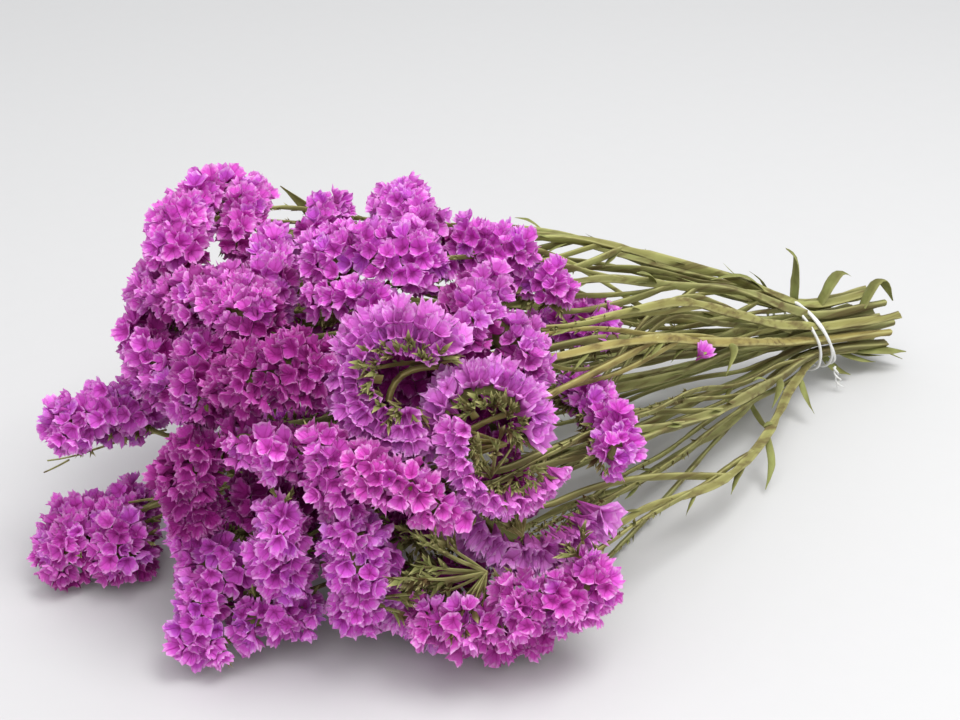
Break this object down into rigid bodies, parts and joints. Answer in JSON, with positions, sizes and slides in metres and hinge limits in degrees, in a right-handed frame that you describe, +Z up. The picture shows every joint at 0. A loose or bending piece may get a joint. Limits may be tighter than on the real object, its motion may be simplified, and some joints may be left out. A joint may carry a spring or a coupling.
{
  "type": "dried statice bunch",
  "caption": "Tied bunch of dried statice lying on its side: winged green stems, a white elastic band and curved spikes of papery magenta-violet flowers.",
  "frame": {"origin": "on the surface that the bunch lies on, below the middle of its box", "axes": "+X along the bunch, from the flowers to the cut ends of the stems; +Z up; +Y to the left when looking from the flowers to the cut ends"},
  "size_m": [0.5868, 0.3344, 0.2136],
  "materials": {
    "papery_calyx": "matt, papery",
    "stem_green": "matt, dry",
    "white_elastic": "matt"
  },
  "bodies": {
    "root": {"spray_left_core": "papery_calyx", "spray_low_core": "papery_calyx", "spray_far_left": "papery_calyx", "spray_left_upper": "papery_calyx", "spray_back_left": "papery_calyx", "spray_top_honeycomb": "papery_calyx", "spray_top_inner": "papery_calyx", "spray_middle_honeycomb": "papery_calyx", "spray_left_middle": "papery_calyx", "spray_small_cluster": "papery_calyx", "spray_front_left": "papery_calyx", "spray_front_tall": "papery_calyx", "spray_front_corner": "papery_calyx", "spray_far_low": "papery_calyx", "spray_under_left": "papery_calyx", "spray_under_middle": "papery_calyx", "spray_back_middle": "papery_calyx", "spray_back_right": "papery_calyx", "spray_back_top": "papery_calyx", "spray_back_upper": "papery_calyx", "spray_top_left": "papery_calyx", "spray_top_small": "papery_calyx", "spray_top_back": "papery_calyx", "spray_top_peak": "papery_calyx", "spray_top_right": "papery_calyx", "spray_crown": "papery_calyx", "spray_top_right_low": "papery_calyx", "spray_loose_right": "papery_calyx", "spray_upper_right": "papery_calyx", "spray_middle_curl": "papery_calyx", "spray_middle_arch": "papery_calyx", "spray_front_pink": "papery_calyx", "spray_front_curl": "papery_calyx", "spray_right_loose": "papery_calyx", "spray_front_right": "papery_calyx", "spray_front_smile": "papery_calyx", "spray_front_fan": "papery_calyx", "spray_front_low": "papery_calyx", "spray_under_back": "papery_calyx", "spray_under_back_right": "papery_calyx", "stem_a0": "stem_green", "stem_b1": "stem_green", "stem_b2": "stem_green", "stem_b3": "stem_green", "stem_b4": "stem_green", "stem_b5": "stem_green", "stem_b6": "stem_green", "stem_c1": "stem_green", "stem_c2": "stem_green", "stem_c3": "stem_green", "stem_c4": "stem_green", "stem_c5": "stem_green", "stem_c6": "stem_green", "stem_c7": "stem_green", "stem_c8": "stem_green", "stem_c9": "stem_green", "stem_c10": "stem_green", "stem_c11": "stem_green", "stem_c12": "stem_green", "elastic_band": "white_elastic"}
  },
  "joints": []
}
